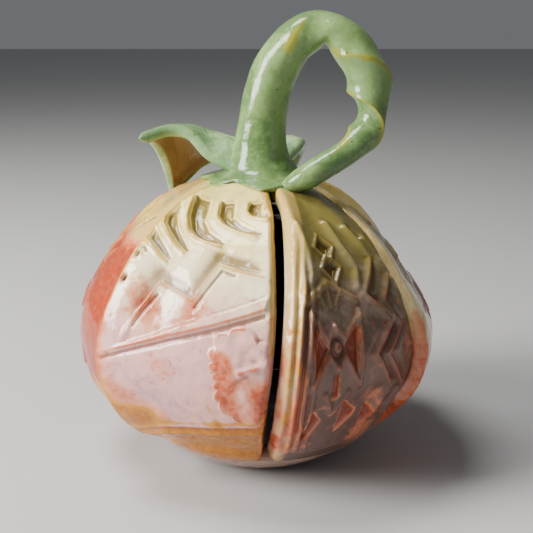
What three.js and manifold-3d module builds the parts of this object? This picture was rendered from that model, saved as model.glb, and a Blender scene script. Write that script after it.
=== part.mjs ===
// A hand-built ceramic pumpkin ornament: a shallow base dish, six curved slab petals that lean
// together over a hollow body, a domed collar, a looped and twisted stem, and two leaves.
// Millimetres, +Z up, front towards -Y, origin at the centre of the flat foot.

import * as THREE from "three";
import Module from "manifold-3d";
import { mergeVertices } from "three/addons/utils/BufferGeometryUtils.js";

// ---------------------------------------------------------------- driving dimensions

const WALL = 6.5;              // thickness of the rolled slab
const GAP = 0.3;               // clearance left where two pieces of clay meet
const JOINT_SHARE = 0.17;      // share of the wall's outline that belongs to the dish
const TOP_SHARE = 0.96;        // share of the outline where the petals end at the collar
const LEAN = 2.2;              // how far the middle of the body is set over to the left
const LEAN_FROM = 20;          // height where the body starts to lean
const LEAN_OVER = 85;          // height over which it leans out and comes back
const CHAMFER = 1.2;           // broken corners of a cut slab edge
const SLANT_RADIUS = 60;       // radius from which a slanting cut edge has its full slant

const DISH_STEPS = 7;          // steps up the wall of the dish
const PETAL_STEPS = 16;        // steps up a petal
const PETAL_COLUMNS = 8;       // steps across a petal
const LATHE_SIDES = 40;

const COLLAR_TOP = 117.8;      // height of the seat that the stem stands on
const COLLAR_SEAT_RADIUS = 14;
const COLLAR_THICKNESS = 8;
const COLLAR_TAPER = 0.35;     // how far the plug narrows downwards, as a share of its thickness
const COLLAR_BEVEL = 0.95;     // depth of the taper, as a share of the thickness

const STEM_STEPS = 48;
const STEM_SIDES = 16;

const LEAF_THICKNESS = 4.8;
const LEAF_STEPS = 10;
const LEAF_COLUMNS = 8;
const SLOPE_STEP = 0.01;       // share of a leaf over which its slope is taken

// Outline of the wall, from the edge of the flat foot out to the belly and in to the neck.
const FOOT_RADIUS = 20;
const OUTLINE = new THREE.SplineCurve([
  new THREE.Vector2(FOOT_RADIUS, 0),
  new THREE.Vector2(30, 2.5),
  new THREE.Vector2(42, 10),
  new THREE.Vector2(55, 22),
  new THREE.Vector2(66, 38),
  new THREE.Vector2(71, 55),
  new THREE.Vector2(67, 73),
  new THREE.Vector2(57, 89),
  new THREE.Vector2(44, 101),
  new THREE.Vector2(30, 109),
  new THREE.Vector2(13, 115),
]);
OUTLINE.arcLengthDivisions = 400;

// Each petal: the azimuth of its left and right edge in degrees (0 is the front, positive to the
// right) at five even stations from the dish to the collar, how far each edge is lifted off the
// round, how far the petal swells below and above the belly, how much flatter than the round it
// is, and how far each cut edge slants.
const PETALS = [
  {
    name: "front_left_petal",
    left: [-55, -53, -50, -50, -52],
    right: [1.5, 4, 7, 7.8, 8],
    liftLeft: 3.5, liftRight: 0.5, low: 0, high: 0, flat: 0.045, slantLeft: 0.5, slantRight: 2.6,
    colour: 0xe6d3bd,
  },
  {
    name: "front_right_petal",
    left: [2.1, 4.7, 7.8, 10.2, 12.8],
    right: [60, 58, 55, 56, 64],
    liftLeft: 1.8, liftRight: -3, low: 0, high: 0, flat: 0.045, slantLeft: 4.4, slantRight: 0,
    colour: 0xc9ab85,
  },
  {
    name: "right_petal",
    left: [61.5, 59.5, 56.5, 57.5, 65.5],
    right: [119, 119, 119, 119, 119],
    liftLeft: 3, liftRight: -1, low: 1, high: -3.5, flat: 0.035, slantLeft: 1, slantRight: 0,
    colour: 0xc48f78,
  },
  {
    name: "back_right_petal",
    left: [120.5, 120.5, 120.5, 120.5, 120.5],
    right: [179, 178, 177, 177, 178],
    liftLeft: 2, liftRight: 0.5, low: 0, high: -2.5, flat: 0.045, slantLeft: 1, slantRight: 1.5,
    colour: 0xbf9a86,
  },
  {
    name: "back_left_petal",
    left: [181, 182, 183, 183, 182],
    right: [239, 239, 239, 239, 239],
    liftLeft: 2, liftRight: 1, low: 0, high: 0, flat: 0.045, slantLeft: 2, slantRight: 0,
    colour: 0xcba295,
  },
  {
    name: "left_petal",
    left: [240.5, 240.5, 240.5, 240.5, 240.5],
    right: [303.5, 305.5, 308.5, 308.5, 306.5],
    liftLeft: 2, liftRight: -2.5, low: 0, high: 0.6, flat: 0.03, slantLeft: 1, slantRight: 0,
    colour: 0xd58f74,
  },
];

// Stem: centre, half width across the two ridges, half thickness, turn of the ridges in degrees
// (0 points them out of the loop, 90 at the front) and how sharp the ridges are.
const STEM = [
  { at: [0, 0, 118.1], wide: 13.6, thick: 13.6, turn: 90, sharp: 1 },
  { at: [-0.3, 0, 121.5], wide: 11.4, thick: 11.4, turn: 90, sharp: 1 },
  { at: [0, 0, 132], wide: 9.6, thick: 9.6, turn: 90, sharp: 1 },
  { at: [2, 0, 144.4], wide: 9.2, thick: 9.0, turn: 90, sharp: 1 },
  { at: [6.2, 0, 156], wide: 9.3, thick: 9.0, turn: 90, sharp: 1.05 },
  { at: [14.3, -1, 165.4], wide: 9.3, thick: 7.9, turn: 80, sharp: 1.15 },
  { at: [25.9, -3, 169.3], wide: 6.2, thick: 8.4, turn: 5, sharp: 1.15 },
  { at: [36.8, -5, 160.2], wide: 9.3, thick: 8.4, turn: -90, sharp: 1.2 },
  { at: [41.8, -8, 146.6], wide: 9.4, thick: 7.2, turn: -215, sharp: 1.2 },
  { at: [40.6, -11, 136], wide: 6.7, thick: 5.5, turn: -310, sharp: 1.1 },
  { at: [34.6, -15, 127.2], wide: 5.6, thick: 5.3, turn: -380, sharp: 1 },
  { at: [24.8, -18.5, 121.2], wide: 5.6, thick: 5.4, turn: -420, sharp: 1 },
  { at: [16.2, -19.5, 116.4], wide: 6.2, thick: 5.9, turn: -445, sharp: 1 },
  { at: [10.6, -19, 114.2], wide: 4.5, thick: 4.2, turn: -450, sharp: 1 },
];

// Leaves: points of the upper face, row by row from the root to the tip, each row from one
// margin to the other.
const LEFT_LEAF = [
  [[-10, -6, 117], [-9, -2, 121], [-7, 4, 126], [-5, 8, 126], [-2, 10, 121]],
  [[-19.5, -3, 121.8], [-19, 3, 126.5], [-18.5, 10, 130], [-17, 16, 127], [-15, 20, 119]],
  [[-27, 1, 130.3], [-27, 6, 132], [-27, 12, 132], [-26.5, 19, 125], [-25, 24.5, 114]],
  [[-37, 1.5, 132.4], [-37, 7, 132.6], [-37, 13, 129.5], [-35.5, 20, 119.5], [-33, 26.5, 107]],
  [[-48, -4, 130.3], [-46.5, 2, 128.5], [-44, 9, 123], [-41.5, 18, 113.5], [-39.5, 27, 102.5]],
];
const BACK_LEAF = [
  [[-4, 8, 117.5], [0, 9, 118.5], [3, 9, 118.5], [6, 8.5, 118], [9, 7, 116.5]],
  [[-5, 17, 123], [1, 18, 124], [6, 18, 124], [10.5, 17, 123], [14.5, 15, 120.5]],
  [[-4, 25, 125], [2, 26.5, 126.4], [8, 27, 126.4], [13, 26, 126], [18.2, 23, 124.5]],
  [[0, 36, 121], [5, 37.5, 122], [10, 38, 122], [15, 37, 121.5], [19.5, 34, 119.5]],
  [[8, 46, 110], [10, 47, 109.5], [12, 47.5, 109], [14, 47, 109.5], [16, 45.5, 110]],
];

const CLAY_ROUGHNESS = 0.25;
const GREEN = 0x8fae7c;

// ---------------------------------------------------------------- small helpers

const smooth = (low, high, value) => THREE.MathUtils.smoothstep(value, low, high);

function lean(height) {
  const share = THREE.MathUtils.clamp((height - LEAN_FROM) / LEAN_OVER, 0, 1);
  return -LEAN * Math.sin(Math.PI * share);
}

// A smooth value along a short list of even stations.
function along(values, share) {
  const curve = new THREE.SplineCurve(values.map((value, i) => new THREE.Vector2(i, value)));
  return curve.getPoint(THREE.MathUtils.clamp(share, 0, 1)).y;
}

// A point of the wall: share along the outline, azimuth in radians, depth below the outer face.
function wallPoint(share, azimuth, depth) {
  const at = OUTLINE.getPointAt(share);
  const run = OUTLINE.getTangentAt(share);
  const radius = at.x - depth * run.y;
  const height = at.y + depth * run.x;
  const side = radius * Math.sin(azimuth) + lean(height);
  return new THREE.Vector3(side, -radius * Math.cos(azimuth), height);
}

function geometryFrom(points, triangles) {
  const geometry = new THREE.BufferGeometry();
  const flat = points.flatMap((point) => [point.x, point.y, point.z]);
  geometry.setAttribute("position", new THREE.Float32BufferAttribute(flat, 3));
  geometry.setIndex(triangles.flat());
  return geometry;
}

// A closed slab between two grids of points of the same size: its outer and its inner face.
function slab(outer, inner) {
  const rows = outer.length;
  const columns = outer[0].length;
  const layer = rows * columns;
  const points = [...outer.flat(), ...inner.flat()];
  const triangles = [];
  const quad = (a, b, c, d) => triangles.push([a, b, c], [a, c, d]);
  const id = (row, column) => row * columns + column;
  for (let row = 0; row + 1 < rows; row += 1) {
    for (let column = 0; column + 1 < columns; column += 1) {
      const a = id(row, column);
      const b = id(row, column + 1);
      const c = id(row + 1, column + 1);
      const d = id(row + 1, column);
      quad(a, b, c, d);
      quad(layer + a, layer + d, layer + c, layer + b);
    }
    const right = [id(row, columns - 1), id(row + 1, columns - 1)];
    const left = [id(row, 0), id(row + 1, 0)];
    quad(right[0], layer + right[0], layer + right[1], right[1]);
    quad(left[1], layer + left[1], layer + left[0], left[0]);
  }
  for (let column = 0; column + 1 < columns; column += 1) {
    const low = [id(0, column), id(0, column + 1)];
    const high = [id(rows - 1, column), id(rows - 1, column + 1)];
    quad(low[0], layer + low[0], layer + low[1], low[1]);
    quad(high[1], layer + high[1], layer + high[0], high[0]);
  }
  return geometryFrom(points, triangles);
}

// ---------------------------------------------------------------- solids for cutting

const wasm = await Module();
wasm.setup();

function toSolid(geometry) {
  const plain = geometry.clone();
  plain.deleteAttribute("normal");
  plain.deleteAttribute("uv");
  const merged = mergeVertices(plain, 1e-4);
  return new wasm.Manifold(new wasm.Mesh({
    numProp: 3,
    vertProperties: new Float32Array(merged.getAttribute("position").array),
    triVerts: new Uint32Array(merged.getIndex().array),
  }));
}

function fromSolid(solid) {
  const mesh = solid.getMesh();
  const geometry = new THREE.BufferGeometry();
  geometry.setAttribute("position", new THREE.BufferAttribute(mesh.vertProperties, 3));
  geometry.setIndex(new THREE.BufferAttribute(mesh.triVerts, 1));
  return geometry;
}

// Soft clay pressed onto its neighbours: what would lie inside them is cut away.
function pressedOn(geometry, neighbours) {
  let solid = toSolid(geometry);
  for (const neighbour of neighbours) {
    solid = solid.subtract(toSolid(neighbour));
  }
  return fromSolid(solid);
}

// ---------------------------------------------------------------- body

// The dish and the collar are turned outlines; grow makes a slightly fatter copy for cutting.
function dish() {
  const outer = [];
  const inner = [];
  for (let i = 0; i <= DISH_STEPS; i += 1) {
    const share = (JOINT_SHARE * i) / DISH_STEPS;
    const at = OUTLINE.getPointAt(share);
    const run = OUTLINE.getTangentAt(share);
    outer.push(at);
    if (i > 1) {
      inner.push(new THREE.Vector2(at.x - WALL * run.y, at.y + WALL * run.x));
    }
  }
  const outline = [
    new THREE.Vector2(0, 0),
    ...outer,
    ...inner.reverse(),
    new THREE.Vector2(0, WALL),
  ];
  return new THREE.LatheGeometry(outline, LATHE_SIDES).rotateX(Math.PI / 2);
}

function collar(grow) {
  const share = TOP_SHARE + (GAP - grow) / OUTLINE.getLength();
  const at = OUTLINE.getPointAt(share);
  const outline = [
    new THREE.Vector2(0, at.y - COLLAR_THICKNESS),
    new THREE.Vector2(at.x - COLLAR_THICKNESS * COLLAR_TAPER, at.y - COLLAR_THICKNESS * COLLAR_BEVEL),
    new THREE.Vector2(at.x, at.y + grow),
    new THREE.Vector2((at.x + COLLAR_SEAT_RADIUS) / 2 + grow, (at.y + COLLAR_TOP) / 2 + grow),
    new THREE.Vector2(COLLAR_SEAT_RADIUS + grow, COLLAR_TOP + grow),
    new THREE.Vector2(0, COLLAR_TOP + grow),
  ];
  return new THREE.LatheGeometry(outline, LATHE_SIDES).rotateX(Math.PI / 2);
}

// How far a petal stands off the round at a place: u runs from -1 at its left to 1 at its right.
function petalLift(petal, u, share, radius) {
  const swell = smooth(JOINT_SHARE, 0.38, share) * (1 - smooth(0.82, 1.02, share));
  const faceting = petal.flat * radius * (u * u - 0.45);
  const left = petal.liftLeft * smooth(0.25, 1, -u);
  const right = petal.liftRight * smooth(0.25, 1, u);
  const low = petal.low * smooth(0.25, 0.4, share) * (1 - smooth(0.5, 0.7, share));
  const high = petal.high * smooth(0.45, 0.65, share) * (1 - smooth(0.85, 1, share));
  return swell * (faceting + left + right) + low + high;
}

function petal(spec, grow) {
  const from = JOINT_SHARE + GAP / OUTLINE.getLength();
  const outer = [];
  const inner = [];
  for (let row = 0; row <= PETAL_STEPS; row += 1) {
    const share = THREE.MathUtils.lerp(from, TOP_SHARE, row / PETAL_STEPS);
    const station = (share - JOINT_SHARE) / (TOP_SHARE - JOINT_SHARE);
    const radius = OUTLINE.getPointAt(share).x;
    const left = THREE.MathUtils.degToRad(along(spec.left, station)) - grow / radius;
    const right = THREE.MathUtils.degToRad(along(spec.right, station)) + grow / radius;
    const slant = Math.min(1, radius / SLANT_RADIUS) ** 2 / radius;
    const corner = CHAMFER / radius;
    const outerRow = [];
    const innerRow = [];
    const place = (azimuth, depth) => {
      const u = (2 * azimuth - left - right) / (right - left);
      const lift = petalLift(spec, u, share, radius);
      return wallPoint(share, azimuth, depth - lift);
    };
    for (let column = 0; column <= PETAL_COLUMNS + 2; column += 1) {
      const across = THREE.MathUtils.clamp((column - 1) / PETAL_COLUMNS, 0, 1);
      const isCorner = column === 0 || column === PETAL_COLUMNS + 2;
      const inset = isCorner ? 0 : corner;
      const chamfer = isCorner ? CHAMFER : 0;
      const outerLeft = left + spec.slantLeft * slant + inset;
      const outerRight = right - spec.slantRight * slant - inset;
      outerRow.push(place(THREE.MathUtils.lerp(outerLeft, outerRight, across), chamfer - grow));
      const depth = WALL - chamfer + grow;
      innerRow.push(place(THREE.MathUtils.lerp(left + inset, right - inset, across), depth));
    }
    outer.push(outerRow);
    inner.push(innerRow);
  }
  return slab(outer, inner);
}

// ---------------------------------------------------------------- stem

function stem(grow) {
  const line = (pick) => (share) => along(STEM.map(pick), share);
  const path = new THREE.CatmullRomCurve3(STEM.map((knot) => new THREE.Vector3(...knot.at)));
  const wide = line((knot) => knot.wide);
  const thick = line((knot) => knot.thick);
  const turn = line((knot) => knot.turn);
  const sharp = line((knot) => knot.sharp);
  const front = new THREE.Vector3(0, -1, 0);
  const points = [];
  const triangles = [];
  for (let step = 0; step <= STEM_STEPS; step += 1) {
    const share = step / STEM_STEPS;
    const centre = path.getPoint(share);
    const run = step === 0 ? new THREE.Vector3(0, 0, 1) : path.getTangent(share);
    const out = new THREE.Vector3().crossVectors(run, front).normalize().negate();
    const side = new THREE.Vector3().crossVectors(run, out).normalize();
    const angle = THREE.MathUtils.degToRad(turn(share));
    const ridge = out.clone().multiplyScalar(Math.cos(angle)).addScaledVector(side, Math.sin(angle));
    const flank = new THREE.Vector3().crossVectors(run, ridge);
    for (let k = 0; k < STEM_SIDES; k += 1) {
      const around = (2 * Math.PI * k) / STEM_SIDES;
      const overRidge = (wide(share) + grow) * Math.cos(around);
      const lens = Math.sign(Math.sin(around)) * Math.abs(Math.sin(around)) ** sharp(share);
      const overFlank = (thick(share) + grow) * lens;
      const point = centre.clone().addScaledVector(ridge, overRidge).addScaledVector(flank, overFlank);
      points.push(point);
    }
  }
  for (let step = 0; step < STEM_STEPS; step += 1) {
    for (let k = 0; k < STEM_SIDES; k += 1) {
      const next = (k + 1) % STEM_SIDES;
      const low = step * STEM_SIDES;
      const high = low + STEM_SIDES;
      triangles.push([low + k, low + next, high + next], [low + k, high + next, high + k]);
    }
  }
  const last = STEM_STEPS * STEM_SIDES;
  for (let k = 1; k + 1 < STEM_SIDES; k += 1) {
    triangles.push([0, k + 1, k], [last, last + k, last + k + 1]);
  }
  return geometryFrom(points, triangles);
}

// ---------------------------------------------------------------- leaves

// Smooth surface through a small net of points; both shares run from 0 to 1.
function netPoint(net, share, across) {
  const rows = net.map((row) => {
    const curve = new THREE.CatmullRomCurve3(row.map((point) => new THREE.Vector3(...point)));
    return curve.getPoint(across);
  });
  return new THREE.CatmullRomCurve3(rows).getPoint(share);
}

function leaf(net) {
  const upper = [];
  const lower = [];
  for (let row = 0; row <= LEAF_STEPS; row += 1) {
    const share = row / LEAF_STEPS;
    const upperRow = [];
    const lowerRow = [];
    for (let column = 0; column <= LEAF_COLUMNS; column += 1) {
      const across = column / LEAF_COLUMNS;
      const at = netPoint(net, share, across);
      const alongRow = netPoint(net, share, Math.min(1, across + SLOPE_STEP));
      alongRow.sub(netPoint(net, share, Math.max(0, across - SLOPE_STEP)));
      const alongLeaf = netPoint(net, Math.min(1, share + SLOPE_STEP), across);
      alongLeaf.sub(netPoint(net, Math.max(0, share - SLOPE_STEP), across));
      const up = alongRow.cross(alongLeaf).normalize();
      if (up.z < 0) {
        up.negate();
      }
      upperRow.push(at);
      lowerRow.push(at.clone().addScaledVector(up, -LEAF_THICKNESS));
    }
    upper.push(upperRow);
    lower.push(lowerRow);
  }
  return slab(upper, lower);
}

// ---------------------------------------------------------------- assembly

// Turns a closed geometry so that its faces point out.
function facingOut(geometry) {
  const position = geometry.getAttribute("position");
  const index = geometry.getIndex();
  const corners = [new THREE.Vector3(), new THREE.Vector3(), new THREE.Vector3()];
  let volume = 0;
  for (let i = 0; i < index.count; i += 3) {
    corners.forEach((corner, k) => corner.fromBufferAttribute(position, index.getX(i + k)));
    volume += corners[0].dot(corners[1].clone().cross(corners[2]));
  }
  if (volume < 0) {
    for (let i = 0; i < index.count; i += 3) {
      const first = index.getX(i);
      index.setX(i, index.getX(i + 1));
      index.setX(i + 1, first);
    }
  }
  return geometry;
}

const object = new THREE.Group();

function addPiece(name, geometry, colour) {
  const material = new THREE.MeshStandardMaterial({
    color: colour,
    roughness: CLAY_ROUGHNESS,
    metalness: 0,
  });
  const mesh = new THREE.Mesh(facingOut(geometry), material);
  mesh.name = name;
  object.add(mesh);
}

const grownPetals = PETALS.map((spec) => facingOut(petal(spec, GAP)));
const grownCollar = facingOut(collar(GAP));
const grownStem = facingOut(stem(GAP));
const bodyTop = [...grownPetals, grownCollar];

addPiece("base_dish", dish(), 0xd8b9a8);
for (const spec of PETALS) {
  addPiece(spec.name, petal(spec, 0), spec.colour);
}
addPiece("collar", collar(0), GREEN);
addPiece("stem_loop", pressedOn(facingOut(stem(0)), bodyTop), GREEN);
const leftLeaf = pressedOn(facingOut(leaf(LEFT_LEAF)), [...bodyTop, grownStem]);
addPiece("left_leaf", leftLeaf, GREEN);
addPiece("back_leaf", pressedOn(facingOut(leaf(BACK_LEAF)), [...bodyTop, grownStem]), GREEN);

export default object;
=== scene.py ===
# Looks of the ceramic pumpkin ornament: relief-pressed slab petals, a twisted stem and slab leaves
# under running glazes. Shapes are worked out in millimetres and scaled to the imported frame.

import math

import bpy
import numpy as np
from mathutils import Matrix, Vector


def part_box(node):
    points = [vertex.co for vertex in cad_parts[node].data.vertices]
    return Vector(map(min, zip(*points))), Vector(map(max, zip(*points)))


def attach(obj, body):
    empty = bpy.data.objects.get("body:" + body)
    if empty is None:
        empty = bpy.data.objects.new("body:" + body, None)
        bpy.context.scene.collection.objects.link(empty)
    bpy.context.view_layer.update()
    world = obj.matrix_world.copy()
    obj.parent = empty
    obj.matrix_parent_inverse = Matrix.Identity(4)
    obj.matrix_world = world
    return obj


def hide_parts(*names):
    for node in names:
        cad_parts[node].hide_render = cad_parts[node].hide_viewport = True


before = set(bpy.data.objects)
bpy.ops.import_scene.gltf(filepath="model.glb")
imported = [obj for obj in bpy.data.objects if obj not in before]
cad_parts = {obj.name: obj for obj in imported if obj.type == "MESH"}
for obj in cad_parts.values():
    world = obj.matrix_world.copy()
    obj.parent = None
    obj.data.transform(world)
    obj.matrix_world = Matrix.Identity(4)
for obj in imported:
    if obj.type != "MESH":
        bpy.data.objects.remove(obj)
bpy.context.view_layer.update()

# ---------------------------------------------------------------- sizes, from the frame

BODY = "root"
COLLAR_TOP = 117.8  # design height of the collar, mm
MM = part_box("collar")[1].z / COLLAR_TOP  # metres in one design millimetre

WALL = 6.5  # thickness of a rolled slab, mm
JOINT_SHARE = 0.17  # share of the outline where the petals begin
TOP_SHARE = 0.96  # and where they end, under the collar
EDGE_ROUND = 1.9  # radius of a cut slab edge, mm
LEDGE_SLOPE = 0.22  # rise of the ledge across the front left petal
SEAM = 0.15  # between the dish and the petals, mm
LEAN = 2.2  # how far the body's middle leans left, mm
LEAN_START, LEAN_RISE = 20, 85  # height where the lean begins, and its rise, mm
FOOT_RIM = 14  # inner radius where the dish's floor goes flat, mm

# The wall's outer outline from the foot to the collar: radius and height, mm.
OUTLINE_KNOTS = [
    (20, 0), (30, 2.5), (42, 10), (55, 22), (66, 38), (71, 55),
    (67, 73), (57, 89), (44, 101), (30, 109), (13, 115),
]

# ---------------------------------------------------------------- numbers and noise


def smooth(low, high, value):
    """A soft step from 0 at low to 1 at high; it falls instead where low is the larger."""
    share = np.clip((value - low) / (high - low), 0, 1)
    return share * share * (3 - 2 * share)


def bell(value, centre, width):
    """A soft hump of height 1."""
    return np.exp(-(((value - centre) / width) ** 2))


def catmull(knots, place):
    """Points of a smooth curve through knots, at places counted in knots."""
    knots = np.asarray(knots, float)
    if knots.ndim == 1:
        knots = knots[:, None]
    last = len(knots) - 1
    place = np.clip(np.asarray(place, float), 0, last)
    cell = np.minimum(place.astype(int), last - 1)
    t = (place - cell)[..., None]
    before = knots[np.maximum(cell - 1, 0)]
    a = knots[cell]
    b = knots[cell + 1]
    after = knots[np.minimum(cell + 2, last)]
    va = (b - before) / 2
    vb = (after - a) / 2
    cubic = (2 * a - 2 * b + va + vb) * t**3 + (-3 * a + 3 * b - 2 * va - vb) * t**2
    return cubic + va * t + a


def along(values, share):
    """Numbers along a smooth curve through evenly spaced values, at shares of its length."""
    return catmull(values, np.asarray(share) * (len(values) - 1))[..., 0]


class Cloud:
    """Smooth random values in space, the same on every run."""

    OCTAVE_SHIFT = 17.3

    def __init__(self, seed, side=32):
        self.side = side
        self.grid = np.random.RandomState(seed).rand(side, side, side) * 2 - 1

    def once(self, points, size):
        """One layer of the cloud, its cells size millimetres wide."""
        p = points / size
        cell = np.floor(p).astype(int)
        f = p - cell
        f = f * f * (3 - 2 * f)
        total = 0
        for corner in np.ndindex(2, 2, 2):
            i, j, k = np.moveaxis((cell + corner) % self.side, -1, 0)
            weight = np.prod(np.where(corner, f, 1 - f), axis=-1)
            total += self.grid[i, j, k] * weight
        return total

    def __call__(self, points, size, octaves=3):
        total = 0
        for octave in range(octaves):
            shifted = points + self.OCTAVE_SHIFT * octave
            total += self.once(shifted, size / 2**octave) / 2**octave
        return total


HAND = Cloud(3)  # unevenness of hand-worked clay
GLAZE = Cloud(11)  # where the glazes ran


def beside_segment(across, up, start, end):
    """Of each place on a slab: its distance to a segment, the share of the segment that it
    lies beside, and if it lies on the left-hand side."""
    (ax, ay), (bx, by) = start, end
    dx, dy = bx - ax, by - ay
    t = np.clip(((across - ax) * dx + (up - ay) * dy) / (dx * dx + dy * dy), 0, 1)
    far = np.hypot(across - ax - t * dx, up - ay - t * dy)
    return far, t, dx * (up - ay) - dy * (across - ax) > 0


def distance_to_line(across, up, points):
    """Distance from each place on a slab to a broken line, in millimetres."""
    distances = [beside_segment(across, up, *ends)[0] for ends in zip(points, points[1:])]
    return np.minimum.reduce(distances)


def groove(across, up, points, width, depth):
    """A pressed line; a negative height."""
    return -depth * bell(distance_to_line(across, up, points), 0, width)


def scarp(across, up, points, depth, gentle, steep):
    """A pressed line, gentle on its left-hand side and steep on the other, that fades at its ends."""
    best = np.full(across.shape, 1e9)
    leftward = np.zeros(across.shape, bool)
    run = np.zeros(across.shape)
    for index, ends in enumerate(zip(points, points[1:])):
        far, t, on_left = beside_segment(across, up, *ends)
        nearer = far < best
        best = np.where(nearer, far, best)
        leftward = np.where(nearer, on_left, leftward)
        run = np.where(nearer, (index + t) / (len(points) - 1), run)
    width = np.where(leftward, gentle, steep)
    return -depth * bell(best, 0, width) * smooth(0, 0.16, run) * smooth(1, 0.84, run)


def inside(across, up, corners):
    """1 inside a polygon and 0 outside."""
    result = np.zeros(across.shape, bool)
    for (ax, ay), (bx, by) in zip(corners, corners[1:] + corners[:1]):
        if ay == by:
            continue
        crosses = (ay > up) != (by > up)
        result ^= crosses & (across < (bx - ax) * (up - ay) / (by - ay) + ax)
    return result.astype(float)


def plateau(across, up, corners, soft):
    """A raised field with a soft edge: 1 well inside the polygon, 0 well outside it."""
    edge = distance_to_line(across, up, corners + corners[:1])
    signed = np.where(inside(across, up, corners) > 0.5, edge, -edge)
    return smooth(-soft, soft, signed)


# ---------------------------------------------------------------- the wall of the body

dense = catmull(OUTLINE_KNOTS, np.linspace(0, len(OUTLINE_KNOTS) - 1, 2001))
steps = np.linalg.norm(np.diff(dense, axis=0), axis=1)
arc = np.concatenate([[0], np.cumsum(steps)])
LENGTH = arc[-1]
slope = np.gradient(dense, arc, axis=0)


def outline(share):
    """Radius, height and the outward normal of the wall at a share of its outline."""
    at = np.asarray(share) * LENGTH
    radius = np.interp(at, arc, dense[:, 0])
    height = np.interp(at, arc, dense[:, 1])
    run_r = np.interp(at, arc, slope[:, 0])
    run_z = np.interp(at, arc, slope[:, 1])
    return radius, height, run_z, -run_r


def lean(height):
    """Sideways shift of the body, which is not quite upright."""
    return -LEAN * np.sin(np.pi * np.clip((height - LEAN_START) / LEAN_RISE, 0, 1))


def wall_point(share, azimuth, depth):
    """Places in the wall; azimuth is 0 at the front and grows to the right."""
    radius, height, out_r, out_z = outline(share)
    r = radius - depth * out_r
    z = height - depth * out_z
    return np.stack([r * np.sin(azimuth) + lean(z), -r * np.cos(azimuth), z], -1)


# ---------------------------------------------------------------- mesh building


def add_object(name, points, faces, layers, material, node):
    """One piece from points in mm, arrays of faces and a value per point for each named layer."""
    mesh = bpy.data.meshes.new(name)
    mesh.vertices.add(len(points))
    mesh.vertices.foreach_set("co", (points * MM).astype(np.float32).ravel())
    loops = np.concatenate([np.asarray(face).ravel() for face in faces])
    sizes = np.concatenate([np.full(len(face), face.shape[1]) for face in faces])
    mesh.loops.add(len(loops))
    mesh.loops.foreach_set("vertex_index", loops.astype(np.int32))
    mesh.polygons.add(len(sizes))
    starts = np.concatenate([[0], np.cumsum(sizes)[:-1]])
    mesh.polygons.foreach_set("loop_start", starts.astype(np.int32))
    mesh.polygons.foreach_set("use_smooth", np.ones(len(sizes), bool))
    mesh.update(calc_edges=True)
    mesh.validate()
    for label, values in layers.items():
        layer = mesh.attributes.new(label, "FLOAT", "POINT")
        layer.data.foreach_set("value", np.asarray(values, np.float32).ravel())
    piece = bpy.data.objects.new(name, mesh)
    bpy.context.collection.objects.link(piece)
    mesh.materials.append(material)
    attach(piece, BODY)
    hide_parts(node)


def ring_faces(rows, ring):
    """Quads between stacked closed rings."""
    row = np.arange(rows - 1)[:, None] * ring
    k = np.arange(ring)[None, :]
    nxt = (k + 1) % ring
    return np.stack([row + k, row + nxt, row + ring + nxt, row + ring + k], -1).reshape(-1, 4)


def end_fans(rows, ring, first, last):
    """Triangles that close stacked rings at both ends, round the points first and last."""
    k = np.arange(ring)
    nxt = (k + 1) % ring
    base = (rows - 1) * ring
    opening = np.stack([np.full(ring, first), nxt, k], -1)
    closing = np.stack([np.full(ring, last), base + k, base + nxt], -1)
    return [opening, closing]


# ---------------------------------------------------------------- glazes


def colour(name):
    """Linear colour of a six-digit screen colour in the palette."""
    code = PALETTE[name]
    parts = [int(code[i : i + 2], 16) / 255 for i in (0, 2, 4)]
    linear = [c / 12.92 if c <= 0.04045 else ((c + 0.055) / 1.055) ** 2.4 for c in parts]
    return (*linear, 1)


GLAZE_IOR = 1.48
MIX_UNDER, MIX_OVER, MIX_RESULT = 6, 7, 2  # the colour sockets of a mix node

PALETTE = dict(
    peach="e3aaa0", cream="ffeec2", lilac="b98c9c", apricot="e88f52", butter="f3dd7c",
    grey_shade_thin_glaze="5e5040", olive_shade_thin_glaze="86793c", brown_shade_thin_glaze="64443c", tan="cdab62", pale_tan="f0dca2",
    coral="da8662", deep_coral="bb4f2a", brick="8f3420", ochre="cf8c22", burnt_ochre="a85e08",
    gold="c99d34", rust="cc5a1e", olive_sunk="6a5218", red_sunk="7c3f30", speckle="bf4418",
    green_run="7fa668", petal_shadow="1c120e",
    stem_light="7b985b", stem_dark="557343", leaf_light="9fbd88", leaf_dark="6f9462",
    pale_green="a3bd78", moss="34592c", worn_olive="8f8f2e", streak="8a8626", green_spot="26421f",
    bare_clay="7f6546",
    base_clay="b08d80", base_brown="8d6253", base_ochre="b9741f", base_spot="5d3a2c",
    base_shadow="2a1d18", floor="b9b8b6",
)


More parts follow.
